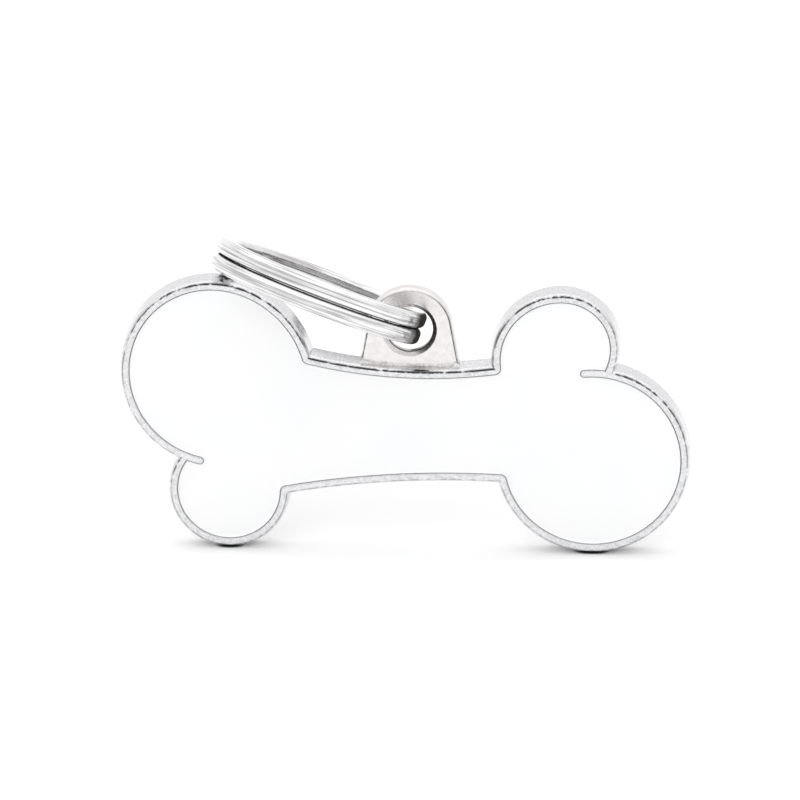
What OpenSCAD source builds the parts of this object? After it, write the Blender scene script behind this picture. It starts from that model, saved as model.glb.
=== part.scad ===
// Bone-shaped pet tag: a cast body with a raised border round a white enamel panel,
// a lug brazed to its top edge, and a split ring that swings in the lug's hole.
// The tag stands on its two lower lobes. X runs along it, Y from its front to its back, Z up.
// Y is zero halfway through the lug, where the ring has its middle.

/* [Tag] */
// Length of the tag over the front edge of its border
tag_l = 41.6; // [34:0.2:50]
// Thickness of the tag, from the border's face to its flat back
tag_t = 2; // [1.7:0.1:3]
// How far the outer wall spreads between the border's face and its widest line
wall_spread = 0.32; // [0.24:0.02:0.5]
// Height of the rounding between the outer wall and the back
back_round_h = 0.15; // [0.05:0.01:0.3]
// Width of the rounding between the outer wall and the back
back_round_w = 0.12; // [0.02:0.01:0.2]

/* [Border] */
// Width of the border's flat face
rim_w = 0.4; // [0.3:0.02:0.7]
// Width of the bevel along the border's outer edge
edge_bevel_w = 0.18; // [0.05:0.01:0.22]
// Depth of the bevel along the border's outer edge
edge_bevel_d = 0.25; // [0.1:0.01:0.4]
// Width of the slope on the border's inner wall
inner_slope_w = 0.1; // [0.02:0.01:0.2]

/* [Enamel] */
// Depth of the enamel's face below the border's face
enamel_drop = 0.25; // [0.1:0.01:0.4]
// Thickness of the enamel
enamel_t = 0.65; // [0.3:0.05:1]
// Clearance between the enamel and the wall of its recess
enamel_gap = 0.02; // [0.01:0.01:0.05]

/* [Lug] */
// Thickness of the lug, whose back is flush with the tag's back
lug_t = 1.15; // [0.9:0.05:1.4]
// Metal left round the hole
lug_wall = 1.45; // [1:0.05:2]
// Metal left between the hole and the border
lug_foot_wall = 1.3; // [1:0.05:2]
// How far each side of the lug spreads at its foot
lug_flare = 0.45; // [0.1:0.05:0.7]
// Width of the bevel round the lug's face
lug_bevel_w = 0.14; // [0.05:0.01:0.3]
// Depth of the bevel round the lug's face
lug_bevel_d = 0.3; // [0.1:0.05:0.5]
// Width and depth of the chamfer at each end of the hole
hole_chamfer = 0.3; // [0.1:0.05:0.4]
// Clearance between the ring's coils and the wall of the hole
hole_play = 0.08; // [0.06:0.02:0.4]

/* [Brazing] */
// Height of the brazed fillet up the lug
braze_h = 0.34; // [0.2:0.02:0.5]
// How far the brazed fillet reaches out from the lug
braze_w = 0.42; // [0.2:0.02:0.5]
// Thickness of the brazed joint under the lug
braze_t = 0.05; // [0.03:0.01:0.08]

/* [Split ring] */
// Outside diameter of the ring
ring_d = 16.3; // [14:0.1:20]
// Width of the wire, along the ring's axis
wire_w = 1.2; // [1.1:0.01:1.5]
// Thickness of the wire, across the ring's axis
wire_t = 1.35; // [1.1:0.01:1.5]
// Radius of the wire's rounded edges
wire_round = 0.42; // [0.3:0.01:0.54]
// Gap between the ring's two turns
turn_gap = 0.06; // [0.04:0.01:0.15]
// Angle of the stretch where the wire steps over from one turn to the other
step_angle = 20; // [16:1:30]
// Gap between the ring and the lobe that it leans on
lean_gap = 0.3; // [0.1:0.05:0.5]

/* [Hidden] */

// Circles that the outline follows, at the border's front edge: centre along the tag, centre
// above the lowest point, then radii. Where a lobe has more radii, it goes on to the next one
// at the angle in its list of turns, with no corner.
high_left_shares = [-0.3507, 0.3002, 0.187, 0.1575, 0.1731];
high_left_turns = [70, 150];
low_left_shares = [-0.3137, 0.1029, 0.1029];
low_right_shares = [0.3325, 0.1679, 0.1679];
high_right_shares = [0.2762, 0.3748, 0.0971, 0.1195];
high_right_turns = [90];
waist_top_shares = [0.0314, 1.2173, 0.8894];
waist_foot_shares = [0.0976, -1.5135, 1.643];
// Directions, from its lobe's centre, in which each inward curl of the border ends
left_curl_end = 257;
right_curl_end = 455.7;
// Place of the lug along the tag
lug_share = 0.0072;
// Largest angle between two points of the outline, and pieces along each side of the waist,
// round each corner or half of a curl's tip, and along each side of a curl
outline_step = 6;
waist_pieces = 12;
corner_pieces = 4;
curl_pieces = 4;

// Ring: tilt of its front upwards, where the step lies, and how finely it is drawn
ring_roll = 13.8;
step_place = 28;
ring_pieces_per_turn = 72;
round_pieces = 3;
// Place of the ring's coils in the hole, off its centre: outwards and upwards, as shares of
// the wire's thickness and width
coil_out_share = 0.185;
coil_up_share = 0.183;
// Clearance under the brazing, so that it meets the wall and doesn't reach into it
braze_seat = 0.01;
// Overrun of every cut
cut = 0.5;
fine = 96;
very_fine = 720;

y_back = lug_t / 2;
y_front = y_back - tag_t;
recess_d = enamel_drop + enamel_t;

function along(centre, r, angle) = centre + r * [cos(angle), sin(angle)];
function heading(centre, point) = atan2(point.y - centre.y, point.x - centre.x);
function centre_of(shares) = tag_l * [shares[0], shares[1]] + [0, wall_spread];
// Angle brought into the turn that starts at the given angle
function turned(angle, start) = start + (angle - start) % 360 + (angle < start ? 360 : 0);
// Crossing of two circles, on the left (1) or right (-1) of the line between their centres
function crossing(c1, r1, c2, r2, side) =
    let (d = norm(c2 - c1), u = (c2 - c1) / d, a = (r1 * r1 - r2 * r2 + d * d) / (2 * d))
    c1 + a * u + side * sqrt(r1 * r1 - a * a) * [-u.y, u.x];
// Centre of each arc of a lobe: every next circle touches the last one where the two meet
function lobe_centres(shares, turns, i = 0, centre = undef) =
    let (c = i == 0 ? centre_of(shares) : centre)
    i == len(turns) ? [c] : concat([c], lobe_centres(shares, turns, i + 1,
        along(c, tag_l * (shares[i + 2] - shares[i + 3]), turns[i])));
// Points along an arc, without its last one
function arc(c, r, from, to, pieces) =
    [for (i = [0:pieces - 1]) along(c, r, from + (to - from) * i / pieces)];
function pieces_of(from, to) = max(1, ceil(abs(to - from) / outline_step - 0.5));
// Points along a lobe whose wall is moved outwards by grow. The counts come from the unmoved
// lobe, so that loops of different growth match point for point.
function lobe(centres, shares, turns, from, to, count_from, count_to, grow) =
    let (stops = concat([from], turns, [to]), marks = concat([count_from], turns, [count_to]))
    [for (i = [0:len(turns)])
        each arc(centres[i], tag_l * shares[i + 2] + grow, stops[i], stops[i + 1],
            pieces_of(marks[i], marks[i + 1]))];

high_left = lobe_centres(high_left_shares, high_left_turns);
low_left = lobe_centres(low_left_shares, []);
low_right = lobe_centres(low_right_shares, []);
high_right = lobe_centres(high_right_shares, high_right_turns);
waist_top = centre_of(waist_top_shares);
waist_foot = centre_of(waist_foot_shares);
high_left_r = [for (i = [2:4]) tag_l * high_left_shares[i]];
low_left_r = tag_l * low_left_shares[2];
low_right_r = tag_l * low_right_shares[2];
high_right_r = [for (i = [2:3]) tag_l * high_right_shares[i]];
waist_top_r = tag_l * waist_top_shares[2];
waist_foot_r = tag_l * waist_foot_shares[2];

// Corners of the outline, counterclockwise from the notch left of the lug
function corners(grow) = [
    crossing(waist_top, waist_top_r - grow, high_left[0], high_left_r[0] + grow, 1),
    crossing(high_left[2], high_left_r[2] + grow, low_left[0], low_left_r + grow, -1),
    crossing(low_left[0], low_left_r + grow, waist_foot, waist_foot_r - grow, 1),
    crossing(waist_foot, waist_foot_r - grow, low_right[0], low_right_r + grow, 1),
    crossing(low_right[0], low_right_r + grow, high_right[0], high_right_r[0] + grow, -1),
    crossing(high_right[1], high_right_r[1] + grow, waist_top, waist_top_r - grow, 1)];
// Where each stretch of the outline starts and ends, as angles about its own centre
function limits(q) = [
    [heading(high_left[0], q[0]), turned(heading(high_left[2], q[1]), 0)],
    [turned(heading(low_left[0], q[1]), 0), turned(heading(low_left[0], q[2]), 180)],
    [heading(waist_foot, q[2]), heading(waist_foot, q[3])],
    [turned(heading(low_right[0], q[3]), 0), turned(heading(low_right[0], q[4]), 360)],
    [heading(high_right[0], q[4]), turned(heading(high_right[1], q[5]), 0)],
    [heading(waist_top, q[5]), heading(waist_top, q[0])]];
plain = limits(corners(0));

// Outer edge of the tag, moved outwards by grow, as one list of points for each stretch
function outer_edge(grow) =
    let (a = limits(corners(grow))) [
        lobe(high_left, high_left_shares, high_left_turns, a[0][0], a[0][1],
            plain[0][0], plain[0][1], grow),
        lobe(low_left, low_left_shares, [], a[1][0], a[1][1], plain[1][0], plain[1][1], grow),
        arc(waist_foot, waist_foot_r - grow, a[2][0], a[2][1], waist_pieces),
        lobe(low_right, low_right_shares, [], a[3][0], a[3][1], plain[3][0], plain[3][1], grow),
        lobe(high_right, high_right_shares, high_right_turns, a[4][0], a[4][1],
            plain[4][0], plain[4][1], grow),
        arc(waist_top, waist_top_r - grow, a[5][0], a[5][1], waist_pieces)];

// Inner edge of the border. The band is rim_w wide at its face, and slope wider on each side
// that faces the enamel. Both curls go on along the circle of the larger lobe.
function inner_edge(slope) =
    let (
        w = rim_w + slope,
        q = corners(0),
        left_joint = crossing(high_left[2], high_left_r[2] + slope,
            low_left[0], low_left_r - w, -1),
        right_joint = crossing(low_right[0], low_right_r + slope,
            high_right[0], high_right_r[0] - w, -1),
        left_out = turned(heading(high_left[2], left_joint), 0),
        right_out = turned(heading(low_right[0], right_joint), 360),
        curl_r = (rim_w + 2 * slope) / 2,
        left_tip = along(high_left[2], high_left_r[2] + slope - curl_r, left_curl_end),
        right_tip = along(low_right[0], low_right_r + slope - curl_r, right_curl_end)) [
        lobe(high_left, high_left_shares, high_left_turns, plain[0][0], plain[0][1],
            plain[0][0], plain[0][1], -w),
        arc(high_left[2], high_left_r[2] - w, plain[0][1], left_curl_end, curl_pieces),
        arc(left_tip, curl_r, left_curl_end + 180, left_curl_end + 90, corner_pieces),
        arc(left_tip, curl_r, left_curl_end + 90, left_curl_end, corner_pieces),
        arc(high_left[2], high_left_r[2] + slope, left_curl_end, left_out, curl_pieces),
        lobe(low_left, low_left_shares, [], turned(heading(low_left[0], left_joint), 0),
            plain[1][1], plain[1][0], plain[1][1], -w),
        arc(q[2], w, plain[1][1] - 180, plain[2][0], corner_pieces),
        arc(waist_foot, waist_foot_r + w, plain[2][0], plain[2][1], waist_pieces),
        arc(q[3], w, plain[2][1], plain[3][0] - 180, corner_pieces),
        lobe(low_right, low_right_shares, [], plain[3][0], plain[3][1],
            plain[3][0], plain[3][1], -w),
        arc(low_right[0], low_right_r - w, plain[3][1], right_curl_end, curl_pieces),
        arc(right_tip, curl_r, right_curl_end + 180, right_curl_end + 90, corner_pieces),
        arc(right_tip, curl_r, right_curl_end + 90, right_curl_end, corner_pieces),
        arc(low_right[0], low_right_r + slope, right_curl_end, right_out, curl_pieces),
        lobe(high_right, high_right_shares, high_right_turns,
            heading(high_right[0], right_joint), plain[4][1], plain[4][0], plain[4][1], -w),
        arc(q[5], w, plain[4][1] - 180, plain[5][0], corner_pieces),
        arc(waist_top, waist_top_r + w, plain[5][0], plain[5][1], waist_pieces),
        arc(q[0], w, plain[5][1], plain[0][0] - 180, corner_pieces)];

// Surfaces are lists of triangles. A strip lies between two paths of as many points, and a fan
// between a path and a hub. On both, the first path runs clockwise round the metal behind it.
function strip(a, b) = [for (i = [1:len(a) - 1])
    each [[a[i - 1], a[i], b[i]], [a[i - 1], b[i], b[i - 1]]]];
function fan(hub, path) = [for (i = [1:len(path) - 1])
    if (path[i - 1] != hub && path[i] != hub) [path[i - 1], path[i], hub]];
function flipped(triangles) = [for (t = triangles) [t[0], t[2], t[1]]];
function reversed(path) = [for (i = [len(path) - 1:-1:0]) path[i]];
// An edge's stretches as paths, each with the first point of the next one at its end
function paths(edge) = [for (k = [0:len(edge) - 1])
    concat(edge[k], [edge[(k + 1) % len(edge)][0]])];
function lifted(path, y) = [for (p = path) [p.x, y, p.y]];
function laid(triangles, y) = [for (t = triangles) lifted(t, y)];
function wall(a, y_a, b, y_b) = [for (k = [0:len(a) - 1])
    each strip(lifted(a[k], y_a), lifted(b[k], y_b))];
// Flat area inside an edge: a fan in each lobe and one in the middle. The lists number the
// paths that run round each lobe and the two along the waist.
function cap(edge, lobes, waists) =
    let (hubs = [high_left[2], low_left[0], low_right[0], high_right[1]],
        middle = (hubs[0] + hubs[1] + hubs[2] + hubs[3]) / 4)
    concat([for (i = [0:3]) for (k = lobes[i]) each fan(hubs[i], edge[k])],
        fan(middle, concat([hubs[0], edge[lobes[1][0]][0], hubs[1]], edge[waists[0]],
            [hubs[2], edge[lobes[3][0]][0], hubs[3]], edge[waists[1]], [hubs[0]])));
// Flat face of a curl, whose paths start at the given number, from its notch to its round tip
function curl_face(edge, k, notch) = concat(
    [[notch, edge[k][0], edge[k + 4][0]]],
    strip(edge[k], reversed(edge[k + 3])),
    fan(edge[k + 1][0], edge[k + 1]), fan(edge[k + 1][0], edge[k + 2]));
// Flat face of the border, between its inner and its outer edge
function border_face(inner, outer) = concat(
    strip(inner[0], outer[0]), curl_face(inner, 1, outer[1][0]),
    strip(inner[5], outer[1]), fan(outer[2][0], inner[6]),
    strip(inner[7], outer[2]), fan(outer[3][0], inner[8]),
    strip(inner[9], outer[3]), curl_face(inner, 10, outer[4][0]),
    strip(inner[14], outer[4]), fan(outer[5][0], inner[15]),
    strip(inner[16], outer[5]), fan(outer[0][0], inner[17]));

module solid_of(triangles) polyhedron([for (t = triangles) each t],
    [for (i = [0:len(triangles) - 1]) [3 * i, 3 * i + 1, 3 * i + 2]]);

// Casting: recess floor and wall, the border's face, the outer wall and the back
module tag_body() color([0.8, 0.8, 0.82]) {
    deep = paths(inner_edge(inner_slope_w));
    inner = paths(inner_edge(0));
    outer = paths(outer_edge(0));
    bevelled = paths(outer_edge(edge_bevel_w));
    widest = paths(outer_edge(wall_spread));
    back = paths(outer_edge(wall_spread - back_round_w));
    solid_of(concat(
        laid(flipped(cap(deep, [[17, 0, 1, 2], [3, 4, 5, 6], [8, 9, 10, 11], [12, 13, 14, 15]],
            [7, 16])), y_front + recess_d),
        wall(deep, y_front + recess_d, deep, y_front + enamel_drop),
        wall(deep, y_front + enamel_drop, inner, y_front),
        laid(border_face(inner, outer), y_front),
        wall(outer, y_front, bevelled, y_front + edge_bevel_d),
        wall(bevelled, y_front + edge_bevel_d, widest, y_back - back_round_h),
        wall(widest, y_back - back_round_h, back, y_back),
        laid(cap(back, [[0], [1], [3], [4]], [2, 5]), y_back)));
}

module enamel_fill() color([0.97, 0.97, 0.97])
    translate([0, y_front + recess_d, 0]) rotate([90, 0, 0])
        linear_extrude(enamel_t)
            polygon([for (stretch = inner_edge(inner_slope_w + enamel_gap)) each stretch]);

// Slope of the outer wall under the lug, and how far the wall has spread at the lug's face
wall_slope = (wall_spread - edge_bevel_w) / (tag_t - edge_bevel_d - back_round_h);
function spread_at(depth) = edge_bevel_w + wall_slope * (depth - edge_bevel_d);

// The two turns fill the hole: the far corner of their section, at the end of its straight
// wall, sets the hole's size, and the hole sets the lug's
hole_land = lug_t - 2 * hole_chamfer;
coil_out = coil_out_share * wire_t;
coil_up = coil_up_share * wire_w;
coil_reach = wire_round + norm([coil_out + wire_t / 2 - wire_round,
    coil_up + turn_gap / 2 + wire_w - wire_round + tan(ring_roll) * hole_land / 2]);
hole_r = coil_reach + hole_play;
lug_r = hole_r + lug_wall;
lug_foot = lug_r + lug_flare;
lug_x = tag_l * lug_share;
lug_reach = waist_top_r - lug_foot_wall - hole_r;
hole_at = [lug_x, waist_top.y - sqrt(lug_reach * lug_reach - pow(lug_x - waist_top.x, 2))];

// Upright cylinder or cone laid along Y, from its smaller to its larger Y
module lying(from, to, r1, r2, sides = fine)
    translate([0, from, 0]) rotate([-90, 0, 0]) cylinder(to - from, r1, r2, $fn = sides);

// Space above the outer wall of the waist, less a gap
module above_waist(gap) translate([waist_top.x, 0, waist_top.y])
    lying(y_front, y_back + cut, waist_top_r - spread_at(0) - gap,
        waist_top_r - spread_at(tag_t + cut) - gap, very_fine);

// Slab of the lug's outline, less a margin, between two depths
module lug_slab(from, to, margin) translate([hole_at.x, to, hole_at.y])
    rotate([90, 0, 0]) linear_extrude(to - from) hull() {
        circle(lug_r - margin, $fn = fine);
        translate([margin - lug_foot, -hole_r - lug_foot_wall - cut])
            square([2 * (lug_foot - margin), lug_foot_wall]);
    }

module hanger_lug() color([0.83, 0.82, 0.81]) difference() {
    intersection() {
        hull() {
            lug_slab(-y_back + lug_bevel_d, y_back, 0);
            lug_slab(-y_back, -y_back + lug_bevel_d, lug_bevel_w);
        }
        above_waist(braze_t);
    }
    translate([hole_at.x, 0, hole_at.y]) {
        lying(-y_back - cut, y_back + cut, hole_r, hole_r);
        lying(-y_back - cut, -y_back + hole_chamfer, hole_r + hole_chamfer + cut, hole_r);
        lying(y_back - hole_chamfer, y_back + cut, hole_r, hole_r + hole_chamfer + cut);
    }
}

// Fillet of brazing metal along the foot of the lug, at its front and both its sides. It
// starts at the lowest place of the wall under the lug, which rises towards the lug's sides.
module lug_brazing() color([0.6, 0.6, 0.6]) intersection() {
    foot_at = waist_top.y - waist_top_r + spread_at(tag_t - lug_t);
    rise = waist_top_r - sqrt(waist_top_r * waist_top_r - lug_foot * lug_foot);
    difference() {
        translate([hole_at.x, y_back, foot_at]) hull() {
            translate([-lug_foot, -lug_t, -cut])
                cube([2 * lug_foot, lug_t, cut + rise + braze_h]);
            translate([-lug_foot - braze_w, -lug_t - braze_w, -cut])
                cube([2 * (lug_foot + braze_w), lug_t + braze_w, cut]);
        }
        intersection() {
            lug_slab(-y_back, y_back + cut, 0);
            above_waist(braze_t);
        }
    }
    above_waist(braze_seat);
}

// Ring leaning on the high left lobe: the lower turn's wire stays lean_gap clear of the lobe,
// and the law of cosines gives the angle at the hole between the lobe's centre and the wire
ring_r = (ring_d - wire_t) / 2;
pitch = wire_w + turn_gap;
lobe_at = high_left[1] - hole_at;
far_wire = [2 * ring_r - coil_out, pitch / 2 - coil_up];
roll_drop = tan(ring_roll) * (y_back - back_round_h);
far_gap = high_left_r[1] + wall_spread + wire_w / 2 + lean_gap + roll_drop;
lean_opening = acos((lobe_at * lobe_at + far_wire * far_wire - far_gap * far_gap)
    / (2 * norm(lobe_at) * norm(far_wire)));
ring_lean = lean_opening + atan2(lobe_at.y, -lobe_at.x) + atan2(far_wire.y, far_wire.x);

// Wire of the ring, one unbroken run of nearly two turns with a step between them
ring_start = step_angle / 2;
ring_pieces = ring_pieces_per_turn * 2 - floor(step_angle * ring_pieces_per_turn / 360);
function ring_angle(i) = ring_start + i * (720 - step_angle) / ring_pieces;
function eased(s) = s <= 0 ? 0 : s >= 1 ? 1 : (1 - cos(180 * s)) / 2;
function ring_height(t) = pitch * (0.5 - eased((t - 360 + ring_start) / step_angle));
wire_section = [for (corner = [0:3]) for (i = [0:round_pieces])
    let (angle = 90 * (corner + i / round_pieces), side = 45 + 90 * corner)
    [sign(cos(side)) * (wire_t / 2 - wire_round) + wire_round * cos(angle),
        sign(sin(side)) * (wire_w / 2 - wire_round) + wire_round * sin(angle)]];
function wire_ring(t) = [for (p = wire_section)
    [(ring_r + p.x) * cos(t + step_place), (ring_r + p.x) * sin(t + step_place),
        ring_height(t) + p.y]];
wire = [for (i = [0:ring_pieces]) let (ring = wire_ring(ring_angle(i))) concat(ring, [ring[0]])];
// Least gap between the turns, over the points of each section and of the one a turn further
turn_gaps = [for (i = [0:ring_pieces]) let (t = ring_angle(i)) if (t + 360 <= 720 - ring_start)
    let (over = wire_ring(t + 360)) min([for (p = wire_ring(t)) for (q = over) norm(p - q)])];
echo("least gap between the ring's turns", min(turn_gaps));
echo("hole", hole_at, hole_r, "lean", ring_lean);

module split_ring() color([0.75, 0.75, 0.77])
    translate([hole_at.x, 0, hole_at.y]) rotate([0, ring_lean, 0])
        translate([coil_out - ring_r, 0, coil_up]) rotate([-ring_roll, 0, 0])
            solid_of(concat(
                flipped(fan(wire[0][0], wire[0])),
                [for (i = [1:ring_pieces]) each strip(wire[i - 1], wire[i])],
                fan(wire[ring_pieces][0], wire[ring_pieces])));

tag_body();
enamel_fill();
hanger_lug();
lug_brazing();
split_ring();
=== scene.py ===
import math

import bmesh
import bpy
import numpy as np
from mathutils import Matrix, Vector


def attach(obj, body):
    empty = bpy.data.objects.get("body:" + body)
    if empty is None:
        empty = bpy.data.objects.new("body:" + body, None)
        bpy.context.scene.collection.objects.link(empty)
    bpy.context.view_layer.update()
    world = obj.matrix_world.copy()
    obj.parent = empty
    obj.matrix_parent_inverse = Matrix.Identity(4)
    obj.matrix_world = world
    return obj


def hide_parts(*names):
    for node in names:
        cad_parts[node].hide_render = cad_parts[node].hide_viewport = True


# Bone-shaped pet tag: plated casting, white enamel, brazed lug and a split ring.
# Shapes are worked out in millimetres and become metres when a mesh is made.
mm = 0.001
weldGap = 0.0004 * mm   # points nearer than this become one
cutLimit = 0.45         # the most that a corner's rounding takes of a piece beside it, as a share
flatShare = 1.5         # where the flat face beside a rounded edge starts, in edge cuts

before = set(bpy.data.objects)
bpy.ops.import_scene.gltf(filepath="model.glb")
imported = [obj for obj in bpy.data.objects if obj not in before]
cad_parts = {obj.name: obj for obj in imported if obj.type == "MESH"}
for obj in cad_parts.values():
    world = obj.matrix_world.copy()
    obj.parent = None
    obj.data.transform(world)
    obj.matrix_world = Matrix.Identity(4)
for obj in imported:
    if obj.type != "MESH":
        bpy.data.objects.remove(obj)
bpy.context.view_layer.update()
print("frame loaded:", ", ".join(sorted(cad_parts)))


# shared helpers, each a formula on whole arrays

def ramp(value, low, high):  # 0 up to low, 1 from high on, straight between the two
    return np.clip((value - low) / (high - low), 0, 1)


def circlePoints(centre, radius, degrees):  # centre plus radius times (cosine, sine)
    angle = np.radians(degrees)
    return np.asarray(centre) + radius * np.stack([np.cos(angle), np.sin(angle)], -1)


def arc(centre, radius, start, stop, pieces):  # evenly spaced angles, the last point left out
    return circlePoints(centre, radius, start + (stop - start) * np.arange(pieces) / pieces)


def heading(centre, point):  # angle of a point seen from a centre
    return math.degrees(math.atan2(point[1] - centre[1], point[0] - centre[0]))


def turned(angle, start):  # the same angle, brought into the turn that begins at start
    return start + (angle - start) % 360


def crossing(c1, r1, c2, r2, side):  # where two circles meet, left (1) or right (-1) of c1 to c2
    c1, c2 = np.asarray(c1), np.asarray(c2)
    gap = np.linalg.norm(c2 - c1)
    u = (c2 - c1) / gap
    a = (r1 * r1 - r2 * r2 + gap * gap) / (2 * gap)
    return c1 + a * u + side * math.sqrt(r1 * r1 - a * a) * np.array([-u[1], u[0]])


def roundedProfile(points, cut, pieces):  # a polyline whose corners become quadratic curves
    points = np.asarray(points, float)
    rows = [points[:1]]
    t = np.linspace(0, 1, pieces + 1)[:, None]
    for before, corner, after in zip(points[:-2], points[1:-1], points[2:]):
        toBefore, toAfter = before - corner, after - corner
        reach = min(cut, cutLimit * np.linalg.norm(toBefore), cutLimit * np.linalg.norm(toAfter))
        p = corner + toBefore / np.linalg.norm(toBefore) * reach
        q = corner + toAfter / np.linalg.norm(toAfter) * reach
        rows.append((1 - t) ** 2 * p + 2 * t * (1 - t) * corner + t ** 2 * q)
    rows.append(points[-1:])
    return np.vstack(rows)


def refined(points, near):  # long pieces get a middle, and points at near and twice near from both ends
    points = np.asarray(points, float)
    rows = [points[:1]]
    for start, end in zip(points[:-1], points[1:]):
        length = np.linalg.norm(end - start)
        places = np.array([near, 2 * near, length / 2, length - 2 * near, length - near])
        if length > len(places) * near:
            rows.append(start + (places / length)[:, None] * (end - start))
        rows.append(end[None])
    return np.vstack(rows)


# Each point carries a painted shade: how much dark colour stands in for shade and dark reflections there.
def gridSheet(grid, closed=True, uv=None, paintedShade=0.0):  # quads between the rows of a grid of points
    rows, columns = grid.shape[:2]
    uv = np.zeros((rows, columns, 2)) if uv is None else uv
    if np.ndim(paintedShade) < 2:
        paintedShade = np.reshape(paintedShade, (-1, 1))
    paintedShade = np.zeros((rows, columns)) + paintedShade
    pieces = columns if closed else columns - 1
    i, j = np.meshgrid(np.arange(rows - 1), np.arange(pieces), indexing="ij")
    k = (j + 1) % columns
    faces = np.stack([i * columns + j, i * columns + k, (i + 1) * columns + k, (i + 1) * columns + j], -1)
    return grid.reshape(-1, 3), faces.reshape(-1, 4), uv.reshape(-1, 2), paintedShade.ravel()


def fanSheet(hub, path):  # triangles from a hub to each piece of a path
    i = np.arange(1, len(path))
    faces = np.stack([np.zeros_like(i), i, i + 1], -1)
    return np.vstack([[hub], path]), faces, np.zeros((len(path) + 1, 2)), np.zeros(len(path) + 1)


def bells(profile, marks):  # sum of weight times exp(-(distance to the mark / width) squared)
    profile = np.asarray(profile)
    return sum(weight * np.exp(-((profile[:, 0] - a) ** 2 + (profile[:, 1] - b) ** 2) / width ** 2)
               for a, b, width, weight in marks)


def makePiece(name, sheets, smoothDegrees=32):  # joins sheets, welds them and turns faces outwards
    points, faceLists, uvs, paintedShades = zip(*sheets)
    starts = np.cumsum([0] + [len(sheetPoints) for sheetPoints in points])
    faces = [face for sheetFaces, start in zip(faceLists, starts)
             for face in (sheetFaces + start).tolist()]
    mesh = bpy.data.meshes.new(name)
    mesh.from_pydata((np.vstack(points) * mm).tolist(), [], faces)
    mesh.attributes.new("paintedShade", "FLOAT", "POINT").data.foreach_set("value", np.concatenate(paintedShades))
    corners = np.zeros(len(mesh.loops), int)
    mesh.loops.foreach_get("vertex_index", corners)
    layer = mesh.uv_layers.new(name="surface")
    layer.data.foreach_set("uv", np.vstack(uvs)[corners].astype(np.float32).ravel())
    work = bmesh.new()
    work.from_mesh(mesh)
    bmesh.ops.remove_doubles(work, verts=work.verts, dist=weldGap)
    bmesh.ops.dissolve_degenerate(work, edges=work.edges, dist=weldGap / 2)
    bmesh.ops.recalc_face_normals(work, faces=work.faces)
    work.to_mesh(mesh)
    work.free()
    mesh.polygons.foreach_set("use_smooth", np.ones(len(mesh.polygons), bool))
    mesh.set_sharp_from_angle(angle=math.radians(smoothDegrees))
    piece = bpy.data.objects.new(name, mesh)
    bpy.context.scene.collection.objects.link(piece)
    print(name, "made:", len(mesh.polygons), "faces")
    return piece


# outline of the casting, the same circles as the frame's own

tag = {
    "length": 41.6,         # over the front edge of the border
    "thickness": 2.0,
    "lugThickness": 1.15,   # the lug's back is flush with the tag's
    "wallSpread": 0.32,     # how far the wall spreads towards the back
    "backRound": (0.12, 0.15),  # width and depth of the slope at the back edge
    "rim": 0.4,             # width of the border's flat face
    "bevel": (0.18, 0.25),  # width and depth along the outer edge
    "innerSlope": 0.1,
    "enamelDrop": 0.25,
    "enamelThickness": 0.65,
    "outlineStep": 1.5,     # degrees between points of a lobe
    "waistPieces": 60,
    "cornerPieces": 8,
    "curlPieces": 14,
    "edgeCut": 0.08,        # how much of each edge its rounding takes
    "edgePieces": 6,
    "shadeLineWidth": 0.065,  # of the painted dark line of shade and reflection along the border's outer edge
    "shadeLineInset": 0.01,   # how far that line lies outwards and back from the edge
    "sideShade": 0.45,    # how dark that painted line is where the edge doesn't face up
    "innerShade": 0.2,    # how dark the painted shade line beside the enamel is
    "faceShade": 0.2,     # and the painted shade on the border's flat face
    "ringContactShade": (-13.15, -0.3, 0.55, 1.3),   # painted shadow and reflection where the ring leans on the wall: place along and across, width, darkness
}
yBack = tag["lugThickness"] / 2
yFront = yBack - tag["thickness"]
bevelWidth, bevelDepth = tag["bevel"]
roundWidth, roundDepth = tag["backRound"]
wallSlope = (tag["wallSpread"] - bevelWidth) / (tag["thickness"] - bevelDepth - roundDepth)
floorDepth = tag["enamelDrop"] + tag["enamelThickness"]     # of the recess, behind the border's face

# Circles as shares of the length: centre along, centre above the lowest point, radii, and the
# angles at which a lobe goes on to its next radius
lobeShares = {
    "highLeft": (-0.3507, 0.3002, (0.187, 0.1575, 0.1731), (70, 150)),
    "lowLeft": (-0.3137, 0.1029, (0.1029,), ()),
    "lowRight": (0.3325, 0.1679, (0.1679,), ()),
    "highRight": (0.2762, 0.3748, (0.0971, 0.1195), (90,)),
}
waistShares = {"top": (0.0314, 1.2173, 0.8894), "foot": (0.0976, -1.5135, 1.643)}
curlEnds = {"left": 257.0, "right": 455.7}  # angles on the high left and the low right lobe


def lobeCircles(shares):  # every next circle touches the last one where the two meet
    x, z, radii, turns = shares
    size = tag["length"]
    centres = [size * np.array([x, z]) + [0, tag["wallSpread"]]]
    for index, angle in enumerate(turns):
        centres.append(circlePoints(centres[-1], size * (radii[index] - radii[index + 1]), angle))
    return centres, [size * r for r in radii], list(turns)


lobes = {name: lobeCircles(shares) for name, shares in lobeShares.items()}
waists = {
    name: (tag["length"] * np.array([x, z]) + [0, tag["wallSpread"]], tag["length"] * r)
    for name, (x, z, r) in waistShares.items()
}
waistTop, waistTopR = waists["top"]
waistFoot, waistFootR = waists["foot"]
highLeft, highLeftR, _ = lobes["highLeft"]
lowLeft, lowLeftR, _ = lobes["lowLeft"]
lowRight, lowRightR, _ = lobes["lowRight"]
highRight, highRightR, _ = lobes["highRight"]


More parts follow.
